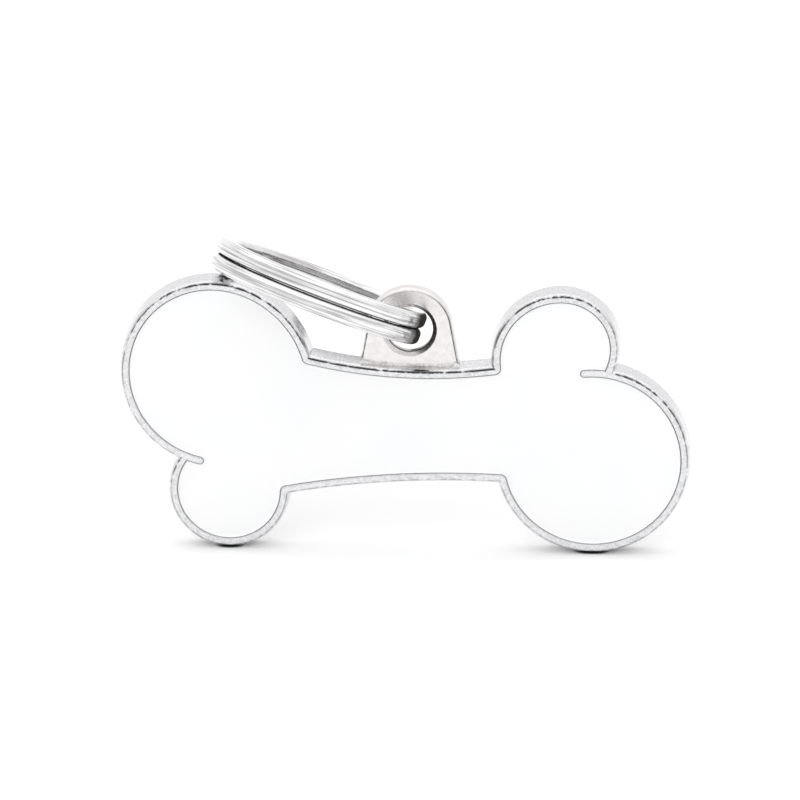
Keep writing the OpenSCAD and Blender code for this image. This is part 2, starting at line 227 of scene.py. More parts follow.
def outlineCorners(grow):  # the six crossings of the lobes' and waists' circles, moved outwards by grow
    return [
        crossing(waistTop, waistTopR - grow, highLeft[0], highLeftR[0] + grow, 1),
        crossing(highLeft[2], highLeftR[2] + grow, lowLeft[0], lowLeftR[0] + grow, -1),
        crossing(lowLeft[0], lowLeftR[0] + grow, waistFoot, waistFootR - grow, 1),
        crossing(waistFoot, waistFootR - grow, lowRight[0], lowRightR[0] + grow, 1),
        crossing(lowRight[0], lowRightR[0] + grow, highRight[0], highRightR[0] + grow, -1),
        crossing(highRight[1], highRightR[1] + grow, waistTop, waistTopR - grow, 1),
    ]


def outlineLimits(q):  # first and last angle of each stretch about its own centre
    return [
        (heading(highLeft[0], q[0]), turned(heading(highLeft[2], q[1]), 0)),
        (turned(heading(lowLeft[0], q[1]), 0), turned(heading(lowLeft[0], q[2]), 180)),
        (heading(waistFoot, q[2]), heading(waistFoot, q[3])),
        (turned(heading(lowRight[0], q[3]), 0), turned(heading(lowRight[0], q[4]), 360)),
        (heading(highRight[0], q[4]), turned(heading(highRight[1], q[5]), 0)),
        (heading(waistTop, q[5]), heading(waistTop, q[0])),
    ]


plainCorners = outlineCorners(0)
plain = outlineLimits(plainCorners)


def lobeArc(name, limits, counts, grow):  # counts come from the unmoved lobe, so loops match
    centres, radii, turns = lobes[name]
    stops = [limits[0], *turns, limits[1]]
    marks = [counts[0], *turns, counts[1]]
    return np.vstack([
        arc(centres[i], radii[i] + grow, stops[i], stops[i + 1],
            max(1, round(abs(marks[i + 1] - marks[i]) / tag["outlineStep"])))
        for i in range(len(centres))
    ])


def outerEdge(grow):  # six stretches of the outline, moved outwards by grow
    a = outlineLimits(outlineCorners(grow))
    return [
        lobeArc("highLeft", a[0], plain[0], grow),
        lobeArc("lowLeft", a[1], plain[1], grow),
        arc(waistFoot, waistFootR - grow, *a[2], tag["waistPieces"]),
        lobeArc("lowRight", a[3], plain[3], grow),
        lobeArc("highRight", a[4], plain[4], grow),
        arc(waistTop, waistTopR - grow, *a[5], tag["waistPieces"]),
    ]


def innerEdge(slope):  # eighteen stretches, with the two curls, moved into the enamel by slope
    inset = tag["rim"] + slope
    q = plainCorners
    leftEnd, rightEnd = curlEnds["left"], curlEnds["right"]
    leftJoint = crossing(highLeft[2], highLeftR[2] + slope, lowLeft[0], lowLeftR[0] - inset, -1)
    rightJoint = crossing(lowRight[0], lowRightR[0] + slope, highRight[0], highRightR[0] - inset, -1)
    tipR = tag["rim"] / 2 + slope
    leftTip = circlePoints(highLeft[2], highLeftR[2] + slope - tipR, leftEnd)
    rightTip = circlePoints(lowRight[0], lowRightR[0] + slope - tipR, rightEnd)
    bend, curl, along = tag["cornerPieces"], tag["curlPieces"], tag["waistPieces"]
    leftBack = turned(heading(highLeft[2], leftJoint), 0)
    rightBack = turned(heading(lowRight[0], rightJoint), 360)
    return [
        lobeArc("highLeft", plain[0], plain[0], -inset),
        arc(highLeft[2], highLeftR[2] - inset, plain[0][1], leftEnd, curl),
        arc(leftTip, tipR, leftEnd + 180, leftEnd + 90, bend),
        arc(leftTip, tipR, leftEnd + 90, leftEnd, bend),
        arc(highLeft[2], highLeftR[2] + slope, leftEnd, leftBack, curl),
        lobeArc("lowLeft", (turned(heading(lowLeft[0], leftJoint), 0), plain[1][1]), plain[1], -inset),
        arc(q[2], inset, plain[1][1] - 180, plain[2][0], bend),
        arc(waistFoot, waistFootR + inset, *plain[2], along),
        arc(q[3], inset, plain[2][1], plain[3][0] - 180, bend),
        lobeArc("lowRight", plain[3], plain[3], -inset),
        arc(lowRight[0], lowRightR[0] - inset, plain[3][1], rightEnd, curl),
        arc(rightTip, tipR, rightEnd + 180, rightEnd + 90, bend),
        arc(rightTip, tipR, rightEnd + 90, rightEnd, bend),
        arc(lowRight[0], lowRightR[0] + slope, rightEnd, rightBack, curl),
        lobeArc("highRight", (heading(highRight[0], rightJoint), plain[4][1]), plain[4], -inset),
        arc(q[5], inset, plain[4][1] - 180, plain[5][0], bend),
        arc(waistTop, waistTopR + inset, *plain[5], along),
        arc(q[0], inset, plain[5][1], plain[0][0] - 180, bend),
    ]


# Places of these stretches in the two lists
innerLobes = [(17, 0, 1, 2), (3, 4, 5, 6), (8, 9, 10, 11), (12, 13, 14, 15)]
innerWaists = (7, 16)
outerLobes = [(0,), (1,), (3,), (4,)]
outerWaists = (2, 5)
facingStretches = [(0, 0), (5, 1), (7, 2), (9, 3), (14, 4), (16, 5)]    # inner and outer, side by side
bendsAtCorners = [(6, 2), (8, 3), (15, 5), (17, 0)]     # inner bend, and outer stretch after its corner
curlStarts = [(1, 1), (10, 4)]      # first inner stretch of a curl, and outer stretch after its notch


def paths(edge):  # each stretch with the first point of the next one at its end
    return [np.vstack([stretch, edge[(k + 1) % len(edge)][:1]]) for k, stretch in enumerate(edge)]


def lifted(flat, y):  # points of the outline's plane at a place along Y
    flat = np.atleast_2d(flat)
    return np.stack([flat[:, 0], np.full(len(flat), y), flat[:, 1]], -1)


def wallSheet(edge, profile, paintedShade=0.0, sideShare=1.0, ringContactShade=None):
    # The edge's loop is carried along a profile of (growth, depth). Its painted shade is full where the
    # edge faces up, and sideShare of that elsewhere. The painted shadow of the ring is one bell on the
    # upper wall.
    rows = np.stack([lifted(np.vstack(edge(grow)), yFront + depth) for grow, depth in profile])
    step = np.roll(rows[0], -1, 0) - np.roll(rows[0], 1, 0)
    upward = np.clip(-step[:, 0] / np.linalg.norm(step, axis=1), 0, 1)
    paintedShade = (np.zeros(len(rows)) + paintedShade)[:, None] * (sideShare + (1 - sideShare) * upward)
    # Painted shadow and reflection of the ring on the wall where it leans.
    if ringContactShade:
        x, y, width, weight = ringContactShade
        distance = (rows[..., 0] - x) ** 2 + (rows[..., 1] - y) ** 2
        paintedShade += weight * upward * np.exp(-distance / width ** 2)
        paintedShade[-1] = 0     # the flat back gets no painted shade
    return gridSheet(rows, paintedShade=np.clip(paintedShade, 0, 1))


def stripSheet(first, second, y, paintedShade=0.0):  # flat band between two paths of as many points
    return gridSheet(np.stack([lifted(first, y), lifted(second, y)]), closed=False, paintedShade=paintedShade)


def capSheets(edge, lobeStretches, waistStretches, y):  # a fan in each lobe and one in the middle
    hubs = [highLeft[2], lowLeft[0], lowRight[0], highRight[1]]
    sheets = [fanSheet(lifted(hub, y)[0], lifted(edge[k], y))
              for hub, stretches in zip(hubs, lobeStretches) for k in stretches]
    ring = np.vstack([
        hubs[0], edge[lobeStretches[1][0]][0], hubs[1], edge[waistStretches[0]],
        hubs[2], edge[lobeStretches[3][0]][0], hubs[3], edge[waistStretches[1]], hubs[0],
    ])
    return sheets + [fanSheet(lifted(sum(hubs) / len(hubs), y)[0], lifted(ring, y))]


def curlSheets(inner, first, notch, y):  # flat face of a curl, from its notch to its round tip
    tip = inner[first + 1][0]
    return [
        fanSheet(lifted(notch, y)[0], lifted(np.vstack([inner[first][0], inner[first + 4][0]]), y)),
        stripSheet(inner[first], inner[first + 3][::-1], y),
        fanSheet(lifted(tip, y)[0], lifted(np.vstack([inner[first + 1][1:], inner[first + 2][1:]]), y)),
    ]


def borderFace(inner, outer, y):  # strips between facing stretches, fans at the corners, and the curls
    # The border's flat face gets an even painted shade.
    sheets = [stripSheet(inner[i], outer[o], y, tag["faceShade"]) for i, o in facingStretches]
    sheets += [fanSheet(lifted(outer[o][0], y)[0], lifted(inner[i], y)) for i, o in bendsAtCorners]
    return sheets + [sheet for i, o in curlStarts for sheet in curlSheets(inner, i, outer[o][0], y)]


def makeCastBody():  # two walls carried round the outline, and flat faces in front and behind
    cut, pieces, flat = tag["edgeCut"], tag["edgePieces"], flatShare * tag["edgeCut"]
    spread, depth = tag["wallSpread"], tag["thickness"]
    slope, width, inset = tag["innerSlope"], tag["shadeLineWidth"], tag["shadeLineInset"]
    innerProfile = roundedProfile(
        [(slope, floorDepth), (slope, tag["enamelDrop"]), (0, 0), (-flat, 0)], cut, pieces)
    outerProfile = roundedProfile(
        [(-flat, 0), (0, 0), (bevelWidth, bevelDepth), (spread, depth - roundDepth),
         (spread - roundWidth, depth), (spread - roundWidth - flat, depth)], cut, pieces)
    outerProfile = refined(outerProfile, width)
    # Painted shade: a dark line in the crease beside the enamel.
    innerLine = bells(innerProfile, [(0, 0, width, tag["innerShade"])])
    # Painted shade and reflection: a dark line along the border's outer edge, full where the edge faces
    # up.
    outerLine = bells(outerProfile, [(inset, inset, width, 1.0)])
    innerTop, outerTop = paths(innerEdge(-flat)), paths(outerEdge(-flat))
    floorEdge, backEdge = paths(innerEdge(slope)), paths(outerEdge(spread - roundWidth - flat))
    return makePiece("castBody", [
        wallSheet(innerEdge, innerProfile, innerLine),
        wallSheet(outerEdge, outerProfile, outerLine, tag["sideShade"], tag["ringContactShade"]),
        *borderFace(innerTop, outerTop, yFront),
        *capSheets(floorEdge, innerLobes, innerWaists, yFront + floorDepth),
        *capSheets(backEdge, outerLobes, outerWaists, yBack),
    ])


enamel = {
    "gap": 0.004,       # to the wall of the recess
    "rise": 0.12,       # how far it is drawn up at its edge
    "riseWidth": 0.3,
    "risePieces": 7,
    "flatFrom": 1.2,    # where its flat face begins, in rise widths
}


def makeEnamelPanel():  # its face rises towards the border with the square of the nearness
    start, drop = tag["innerSlope"] + enamel["gap"], tag["enamelDrop"]
    t = np.linspace(0, 1, enamel["risePieces"])
    rim = np.stack([start + enamel["riseWidth"] * t, drop - enamel["rise"] * (1 - t) ** 2], -1)
    flat = start + enamel["flatFrom"] * enamel["riseWidth"]
    return makePiece("enamelPanel", [
        wallSheet(innerEdge, np.vstack([[start, floorDepth], rim, [flat, drop]])),
        *capSheets(paths(innerEdge(start)), innerLobes, innerWaists, yFront + floorDepth),
        *capSheets(paths(innerEdge(flat)), innerLobes, innerWaists, yFront + drop),
    ])


# lug, with its round hole and the brazing at its foot

lug = {
    "wall": 1.45,
    "footWall": 1.3,
    "flare": 0.45,
    "bevel": (0.14, 0.3),
    "holeChamfer": 0.3,
    "play": 0.08,
    "seam": 0.05,           # thickness of the brazed joint under the lug
    "share": 0.0072,        # place along the tag
    "rays": 720,
    "leastCosine": 0.05,    # keeps a ray that runs along the side from going on for ever
    "overrun": 0.5,         # how far below the hole the sides reach their full width
    "edgeCut": 0.06,
    "edgePieces": 5,
    "shadeLineWidth": 0.05,   # of the painted dark lines of shade along its edges
    "holeLine": (0.07, 1.0),    # width and darkness of the painted shade line round the hole
    "backLine": (0.05, 0.7),    # and of the one at the hole's far end
    "rimShade": 0.25,     # how dark the painted shade is at the outer edge of the hole's chamfer
    "sideShade": 0.9,     # and the painted shade line along the lug's own edge at its two sides
    "topShare": 0.35,       # of that, at its top
    "faceShares": (0.1, 0.3, 0.5, 0.7, 0.9),    # rows across the front face
}
ring = {
    "diameter": 16.3,
    "wireWidth": 1.2,       # along the ring's axis
    "wireThickness": 1.35,
    "wireRound": 0.42,
    "skin": 0.015,          # taken off all round, so that the finer curve stays inside the frame's
    "turnGap": 0.06,
    "roll": 13.8,           # tilt of the ring's front upwards
    "stepPlace": 28.0,      # where the wire steps from one turn to the other
    "stepAngle": 20.0,
    "leanGap": 0.3,
    "outShare": 0.185,      # place of the coils in the hole, off its centre
    "upShare": 0.183,
    "stationStep": 1.0,     # degrees between sections of the wire
    "roundPieces": 8,
    "endBevel": 0.06,
    "insideShade": 0.22,  # how dark the painted shade is on the wire's inner face
    "insideFrom": 0.5,      # and where across the section that begins
    "lineShade": 0.35,    # how dark the painted thin lines of dark reflection are where its flat faces end
    "lineWidth": 0.05,
    "grooveShade": 0.75,  # how dark the painted shade is on the sides that the two turns show each other
    "grooveFrom": 0.9,      # and how squarely such a side has to face the other turn
    "besideFrom": 0.375,    # height, in pitches, from which a turn counts as beside the other
    "inHoleShade": 1.0,     # how dark the painted shade and dark reflection are on the outer face where it lies in the hole
    "inHoleBand": (0.3, 0.8),     # where across the section that begins and is full
    "inHoleReach": 3.6,       # how far along the wire that goes in front of the lug
    "inHoleBehind": 1.6,      # and how much sooner it ends behind it
    "inHolePower": 4,         # and how sharply, at both ends
}
ringR = (ring["diameter"] - ring["wireThickness"]) / 2
pitch = ring["wireWidth"] + ring["turnGap"]
halfThickness = ring["wireThickness"] / 2 - ring["skin"]
halfWidth = ring["wireWidth"] / 2 - ring["skin"]
roll = math.radians(ring["roll"])
coilOut = ring["outShare"] * ring["wireThickness"]
coilUp = ring["upShare"] * ring["wireWidth"]
holeLand = tag["lugThickness"] - 2 * lug["holeChamfer"]
coilReach = ring["wireRound"] + math.hypot(
    coilOut + ring["wireThickness"] / 2 - ring["wireRound"],
    coilUp + ring["turnGap"] / 2 + ring["wireWidth"] - ring["wireRound"] + math.tan(roll) * holeLand / 2)
holeR = coilReach + lug["play"]
lugR = holeR + lug["wall"]
lugFoot = lugR + lug["flare"]
lugX = tag["length"] * lug["share"]
holeAt = np.array([lugX, waistTop[1] - math.sqrt(
    (waistTopR - lug["footWall"] - holeR) ** 2 - (lugX - waistTop[0]) ** 2)])


def waistRadius(y):  # radius of the upper waist's wall at a place along Y
    return waistTopR - bevelWidth - wallSlope * (y - yFront - bevelDepth)


def lugRadius(rays, margin, y):
    # From the hole's centre along each ray: the top arc, or the straight side that leaves it at
    # the tangent, and no further than the waist's wall.
    radius = lugR - margin
    foot = np.array([lugFoot - margin, -(holeR + lug["overrun"])])
    tangent = math.atan2(foot[1], foot[0]) + math.acos(radius / np.linalg.norm(foot))
    angle = np.arctan2(np.sin(rays), np.abs(np.cos(rays)))
    straight = radius / np.maximum(np.cos(angle - tangent), lug["leastCosine"])
    direction = np.stack([np.cos(rays), np.sin(rays)], -1)
    offset = holeAt - waistTop
    b = direction @ offset
    toWall = -b + np.sqrt(b * b - offset @ offset + (waistRadius(y) - lug["seam"]) ** 2)
    return np.minimum(np.where(angle < tangent, straight, radius), toWall)


def makeHangerLug():  # one closed loop of rows: hole, front face, edge, back face
    bevelIn, bevelDeep = lug["bevel"]
    chamfer, width = lug["holeChamfer"], lug["shadeLineWidth"]
    cut, pieces, flat = lug["edgeCut"], lug["edgePieces"], flatShare * lug["edgeCut"]
    rays = np.radians((np.arange(lug["rays"]) + 0.5) * 360 / lug["rays"])
    direction = np.stack([np.cos(rays), np.zeros_like(rays), np.sin(rays)], -1)
    centre = np.array([holeAt[0], 0, holeAt[1]])
    holeProfile = roundedProfile(
        [(holeR + chamfer + flat, yBack), (holeR + chamfer, yBack), (holeR, yBack - chamfer),
         (holeR, chamfer - yBack), (holeR + chamfer, -yBack), (holeR + chamfer + flat, -yBack)],
        cut, pieces)
    edgeProfile = roundedProfile(
        [(bevelIn + flat, -yBack), (bevelIn, -yBack), (0, bevelDeep - yBack), (0, yBack), (flat, yBack)],
        cut, pieces)
    holeProfile, edgeProfile = refined(holeProfile, width), refined(edgeProfile, width)
    holeRows = [centre + direction * r + [0, y, 0] for r, y in holeProfile]
    edgeRows = [centre + direction * lugRadius(rays, margin, y)[:, None] + [0, y, 0]
                for margin, y in edgeProfile]
    across = [holeRows[-1] + (edgeRows[0] - holeRows[-1]) * share for share in lug["faceShares"]]
    rows = holeRows + across + edgeRows
    # Painted shade: dark lines round the hole and along the lug's edge, darker at its sides than at its
    # top.
    hole = bells(holeProfile, [
        (holeR, chamfer - yBack, *lug["holeLine"]),
        (holeR, yBack - chamfer, *lug["backLine"]),
        (holeR + chamfer, -yBack, width / 2, lug["rimShade"]),
    ])
    side = bells(edgeProfile, [(bevelIn, -yBack, width, lug["sideShade"])])
    sideways = lug["topShare"] + (1 - lug["topShare"]) * np.cos(rays) ** 2
    paintedShade = np.vstack([
        hole[:, None] + 0 * rays, np.zeros((len(across), len(rays))), side[:, None] * sideways])
    paintedShade = np.clip(np.vstack([paintedShade, paintedShade[:1]]), 0, 1)
    return makePiece("hangerLug", [gridSheet(np.stack(rows + rows[:1]), paintedShade=paintedShade)])


brazing = {
    "height": 0.22,
    "width": 0.28,
    "sideInset": 0.05,  # how far inside the lug's sides and back its route lies
    "backInset": 0.06,
    "cornerRound": 0.12,
    "sideShare": 0.35,  # how much of it lies at the lug's two sides
    "sideFade": 0.15,   # how far behind the lug's front it is down to that
    "blob": 0.5,        # how much more metal lies at the lug's two corners, as a share
    "blobInset": 0.2,   # where those blobs are, from the corner
    "blobSize": (0.3, 0.15),    # along the tag and across it
    "wobble": 0.12,     # unevenness along the joint, as a share
    "waves": ((5.1, 0, 0.5), (11.3, 1, 0.3), (2.3, 2, 0.4)),    # its waves: pace, start and share
    "sink": 0.04,       # how deep it reaches into what it joins
    "alongPieces": 90,
    "sidePieces": 12,
    "bendPieces": 9,
    "aroundPieces": 7,
    "smoothDegrees": 50,
}


def brazingRoute():  # up one side of the lug's foot, round its corner, along the front and back again
    half, back, front = lugFoot - brazing["sideInset"], yBack - brazing["backInset"], -yBack
    corner, along, side = brazing["cornerRound"], brazing["alongPieces"], brazing["sidePieces"]
    turn = np.radians(np.linspace(0, 90, brazing["bendPieces"]))
    left = np.stack([np.full(side, -half), np.linspace(back, front + corner, side)], -1)
    bend = np.stack([-half + corner * (1 - np.cos(turn)), front + corner * (1 - np.sin(turn))], -1)
    straight = np.stack([np.linspace(-half + corner, half - corner, along), np.full(along, front)], -1)
    route = np.vstack([left[:-1], bend[:-1], straight])
    return np.vstack([route, (route * [-1, 1])[::-1][along:]]), half, front


def makeBrazedFillet():  # a concave quarter round carried round the lug's foot
    route, half, front = brazingRoute()
    height, width, sink = brazing["height"], brazing["width"], brazing["sink"]
    step = np.gradient(route, axis=0)
    step /= np.linalg.norm(step, axis=1)[:, None]
    outward = np.stack([step[:, 1], -step[:, 0]], -1)
    length = np.concatenate([[0], np.cumsum(np.linalg.norm(np.diff(route, axis=0), axis=1))])
    blobAlong = (np.abs(route[:, 0]) - half + brazing["blobInset"]) / brazing["blobSize"][0]
    blobAcross = (route[:, 1] - front) / brazing["blobSize"][1]
    cornerNear = np.exp(-blobAlong ** 2 - blobAcross ** 2)
    sideNear = ramp(route[:, 1], front, front + brazing["sideFade"])
    waves = sum(np.sin(length * pace + start) * share for pace, start, share in brazing["waves"])
    uneven = (1 + brazing["blob"] * cornerNear + (brazing["sideShare"] - 1) * sideNear
              + brazing["wobble"] * waves)[:, None]
    theta = np.radians(np.linspace(0, 90, brazing["aroundPieces"]))
    out = np.concatenate([width * (1 - np.cos(theta)), [width, -sink, -sink]])
    up = np.concatenate([height * (1 - np.sin(theta)), [-sink, -sink, height]])
    x = holeAt[0] + route[:, :1] + outward[:, :1] * out * uneven
    y = route[:, 1:] + outward[:, 1:] * out * uneven
    wallZ = waistTop[1] - np.sqrt(waistRadius(y) ** 2 - (x - waistTop[0]) ** 2)
    z = wallZ + np.where(up > 0, up * uneven, up)
    grid = np.stack([x, y, z], -1)
    ends = [fanSheet(grid[k].mean(0), np.vstack([grid[k], grid[k][:1]])) for k in (0, -1)]
    return makePiece("brazedFillet", [gridSheet(grid), *ends], brazing["smoothDegrees"])


def wireSection():  # a rectangle with a quarter circle at each corner, closed by its first point
    r = ring["wireRound"]
    quarter = np.linspace(0, 90, ring["roundPieces"] + 1)
    section = np.vstack([
        circlePoints((sx * (halfThickness - r), sz * (halfWidth - r)), r, start + quarter)
        for start, sx, sz in ((0, 1, 1), (90, -1, 1), (180, -1, -1), (270, 1, -1))])
    return refined(np.vstack([section, section[:1]]), ring["lineWidth"])


def wireStations():  # angle, size and height of each section; the height steps down by a half cosine
    half = ring["stepAngle"] / 2
    t = np.linspace(half, 720 - half, int((720 - 2 * half) / ring["stationStep"]) + 1)
    bevelTurn = math.degrees(ring["endBevel"] / ringR)
    t = np.concatenate([[t[0]], [t[0] + bevelTurn], t[1:-1], [t[-1] - bevelTurn], [t[-1]]])
    size = np.ones(len(t))
    size[[0, -1]] = 1 - ring["endBevel"] / halfThickness
    rise = ramp(t, 360 - half, 360 + half)
    return t, size, pitch * (0.5 - (1 - np.cos(np.pi * rise)) / 2)


def wireShade(section, t, height):  # painted shade, the most of: inner face with thin lines, groove, and the outer face in the hole
    x, z, r = section[:, 0], section[:, 1], ring["wireRound"]
    inside = ramp(-x / halfThickness, ring["insideFrom"], 1) * ring["insideShade"]
    lines = bells(section, [
        (sx * halfThickness, sz * (halfWidth - r), ring["lineWidth"], ring["lineShade"])
        for sx in (1, -1) for sz in (1, -1)])
    # Painted shade and dark reflection of the hole's wall, near where the wire lies in the hole.
    fromHole = np.radians((t + ring["stepPlace"] + 180) % 360 - 180) * ringR
    fromHole = np.where(fromHole > 0, fromHole * ring["inHoleBehind"], -fromHole)
    nearHole = np.exp(-(fromHole / ring["inHoleReach"]) ** ring["inHolePower"])[:, None]
    holeShade = ring["inHoleShade"] * nearHole * ramp(x / halfThickness, *ring["inHoleBand"])
    facing = -np.sign(height)[:, None] * z / halfWidth  # 1 on the side towards the other turn
    beside = ramp(np.abs(height) / pitch, ring["besideFrom"], 0.5)[:, None]
    groove = ring["grooveShade"] * ramp(facing, ring["grooveFrom"], 1) * beside
    return np.maximum(np.maximum(inside + lines, groove), holeShade)


def ringLean():  # it leans on the high left lobe: the law of cosines gives the angle at the hole
    lobe, lobeR = highLeft[1] - holeAt, highLeftR[1]
    farWire = np.array([2 * ringR - coilOut, pitch / 2 - coilUp])
    farGap = (lobeR + tag["wallSpread"] + ring["wireWidth"] / 2 + ring["leanGap"]
              + math.tan(roll) * (yBack - roundDepth))
    opening = math.acos((lobe @ lobe + farWire @ farWire - farGap ** 2)
                        / (2 * np.linalg.norm(lobe) * np.linalg.norm(farWire)))
    return opening + math.atan2(lobe[1], -lobe[0]) + math.atan2(farWire[1], farWire[0])


def makeSplitRing():  # the section carried round nearly two turns, rolled, leaned and hung in the hole
    section = wireSection()
    t, size, height = wireStations()
    angle = np.radians(t + ring["stepPlace"])[:, None]
    radius = ringR + section[:, 0] * size[:, None]
    grid = np.stack([radius * np.cos(angle), radius * np.sin(angle),
                     height[:, None] + section[:, 1] * size[:, None]], -1)
    lean = ringLean()
    c, s = math.cos(roll), math.sin(roll)
    rolled = np.array([[1, 0, 0], [0, c, s], [0, -s, c]])
    c, s = math.cos(lean), math.sin(lean)
    leaned = np.array([[c, 0, s], [0, 1, 0], [-s, 0, c]])
    grid = (grid @ rolled.T + [coilOut - ringR, 0, coilUp]) @ leaned.T + [holeAt[0], 0, holeAt[1]]
    around = np.concatenate([[0], np.cumsum(np.linalg.norm(np.diff(section, axis=0), axis=1))])
    uv = np.stack(np.broadcast_arrays(np.radians(t)[:, None] * ringR, around), -1)
    wire = gridSheet(grid, closed=False, uv=uv, paintedShade=wireShade(section, t, height))
    ends = [fanSheet(grid[k].mean(0), grid[k]) for k in (0, -1)]
    print("ring leans by", round(math.degrees(lean), 2), "degrees; hole at", holeAt.round(4),
          "radius", round(holeR, 4))
    return makePiece("splitRing", [wire, *ends])


# finishes

strongContrast = (0.35, 0.65)   # stretches of a noise's values that a pattern is drawn from
softContrast = (0.3, 0.7)
colourA, colourB, colourResult = 6, 7, 2    # places of a Mix node's colour sockets


def newMaterial(name, settings):  # plain values of the shader; links replace those that vary
    material = bpy.data.materials.new(name)
    material.use_nodes = True
    shader = material.node_tree.nodes["Principled BSDF"]
    for socket, value in settings.items():
        shader.inputs[socket].default_value = value
    return material, material.node_tree, shader


def addNode(tree, kind, **settings):  # a setting is an input's value, or else a property of the node
    node = tree.nodes.new(kind)
    for key, value in settings.items():
        if key in node.inputs:
            node.inputs[key].default_value = value
        else:
            setattr(node, key, value)
    return node


def objectPlace(tree):  # coordinates on the piece itself
    return addNode(tree, "ShaderNodeTexCoord").outputs["Object"]


def noise(tree, coordinates, size, detail=3.0, roughness=0.55):  # clouds of a size in millimetres
    node = addNode(tree, "ShaderNodeTexNoise", Scale=1 / (size * mm), Detail=detail, Roughness=roughness)
    tree.links.new(coordinates, node.inputs["Vector"])
    return node.outputs["Fac"]


def streakNoise(tree, coordinates, stretch, detail, roughness=0.6):  # clouds drawn out along the wire
    mapping = addNode(tree, "ShaderNodeMapping", Scale=stretch)
    node = addNode(tree, "ShaderNodeTexNoise", Scale=1.0, Detail=detail, Roughness=roughness)
    tree.links.new(coordinates, mapping.inputs["Vector"])
    tree.links.new(mapping.outputs["Vector"], node.inputs["Vector"])
    return node.outputs["Fac"]


def mapped(tree, value, low, high, toLow, toHigh, smooth=True):  # low..high becomes toLow..toHigh
    node = addNode(tree, "ShaderNodeMapRange")
    node.interpolation_type = "SMOOTHSTEP" if smooth else "LINEAR"
    for index, number in enumerate((low, high, toLow, toHigh), start=1):
        node.inputs[index].default_value = number
    tree.links.new(value, node.inputs["Value"])
    return node.outputs["Result"]


def addBump(tree, shader, layers):  # heights with their (strength, depth in millimetres), added up
    normal = None
    for height, (strength, depth) in layers:
        bump = addNode(tree, "ShaderNodeBump", Strength=strength, Distance=depth * mm)
        tree.links.new(height, bump.inputs["Height"])
        if normal:
            tree.links.new(normal, bump.inputs["Normal"])
        normal = bump.outputs["Normal"]
    tree.links.new(normal, shader.inputs["Normal"])


def shaded(tree, value, dark, light):  # dark where the value is 0, light where it is 1
    colours = addNode(tree, "ShaderNodeValToRGB")
    colours.color_ramp.elements[0].color = (*dark, 1)
    colours.color_ramp.elements[1].color = (*light, 1)
    tree.links.new(value, colours.inputs["Fac"])
    return colours.outputs["Color"]


def anyOf(tree, *values):  # the largest of some values
    total = values[0]
    for value in values[1:]:
        most = addNode(tree, "ShaderNodeMath", operation="MAXIMUM")
        tree.links.new(total, most.inputs[0])
        tree.links.new(value, most.inputs[1])
        total = most.outputs[0]
    return total


def times(tree, first, second):  # product of a socket and a socket or number
    node = addNode(tree, "ShaderNodeMath", operation="MULTIPLY")
    tree.links.new(first, node.inputs[0])
    if isinstance(second, (int, float)):
        node.inputs[1].default_value = second
    else:
        tree.links.new(second, node.inputs[1])
    return node.outputs[0]


# How the painted shade looks where it is mixed into a metal.
paintedShadeLook = {
    "contrast": (0.36, 0.56),   # of the noise that breaks the marks up
    "full": 0.75,               # mark at which the metal is covered
    "dullFrom": 0.3,            # cover from which it stops looking like metal
    "roughness": 0.75,          # of a full cover
}


def withPaintedShade(tree, shader, colour, roughness, finish):
    # Cover is the painted shade times a broken noise. It mixes in the dark colour, takes the metal's
    # shine away and roughens it, so that it stands in for shade and dark reflections.
    mark = addNode(tree, "ShaderNodeAttribute", attribute_name="paintedShade").outputs["Fac"]
    patches = noise(tree, objectPlace(tree), finish["shadeGrain"])
    broken = mapped(tree, patches, *paintedShadeLook["contrast"], finish["shadeLeast"], 1)
    mix = addNode(tree, "ShaderNodeMix", data_type="RGBA")
    cover = mapped(tree, times(tree, mark, broken), 0, paintedShadeLook["full"], 0, 1)
    tree.links.new(cover, mix.inputs["Factor"])
    tree.links.new(colour, mix.inputs[colourA])
    mix.inputs[colourB].default_value = (*finish["shadeColour"], 1)
    tree.links.new(mix.outputs[colourResult], shader.inputs["Base Color"])
    tree.links.new(mapped(tree, cover, paintedShadeLook["dullFrom"], 1, 1, 0), shader.inputs["Metallic"])
    dull = times(tree, cover, paintedShadeLook["roughness"])
    tree.links.new(anyOf(tree, roughness, dull), shader.inputs["Roughness"])


castFinish = {
    "grain": 0.14,      # millimetres, as all sizes of a noise here
    "lumps": 1.1,
    "colours": ((0.67, 0.67, 0.685), (0.81, 0.81, 0.82)),   # between the grains and on them
    "roughness": (0.12, 0.22),
    "lumpBump": (0.12, 0.05),   # strength and depth
    "grainBump": (0.22, 0.012),
    "shadeGrain": 0.5,
    "shadeColour": (0.01, 0.01, 0.01),
    "shadeLeast": 0.25,       # what is left of a mark where it is most broken
}


def platedCasting():  # bright plate over a fine cast grain
    material, tree, shader = newMaterial("platedCasting", {"Metallic": 1.0})
    place = objectPlace(tree)
    grain = noise(tree, place, castFinish["grain"])
    lumps = noise(tree, place, castFinish["lumps"], detail=2.0)
    colour = shaded(tree, mapped(tree, grain, *strongContrast, 0, 1), *castFinish["colours"])
    roughness = mapped(tree, lumps, *strongContrast, *castFinish["roughness"])
    withPaintedShade(tree, shader, colour, roughness, castFinish)
    addBump(tree, shader, [(lumps, castFinish["lumpBump"]), (grain, castFinish["grainBump"])])
    return material


enamelFinish = {
    "swell": 6.0,
    "colours": ((0.95, 0.955, 0.965), (0.965, 0.965, 0.965)),
    "roughness": 0.14,
    "coatWeight": 0.4,
    "coatRoughness": 0.05,
    "bump": (0.05, 0.1),
}


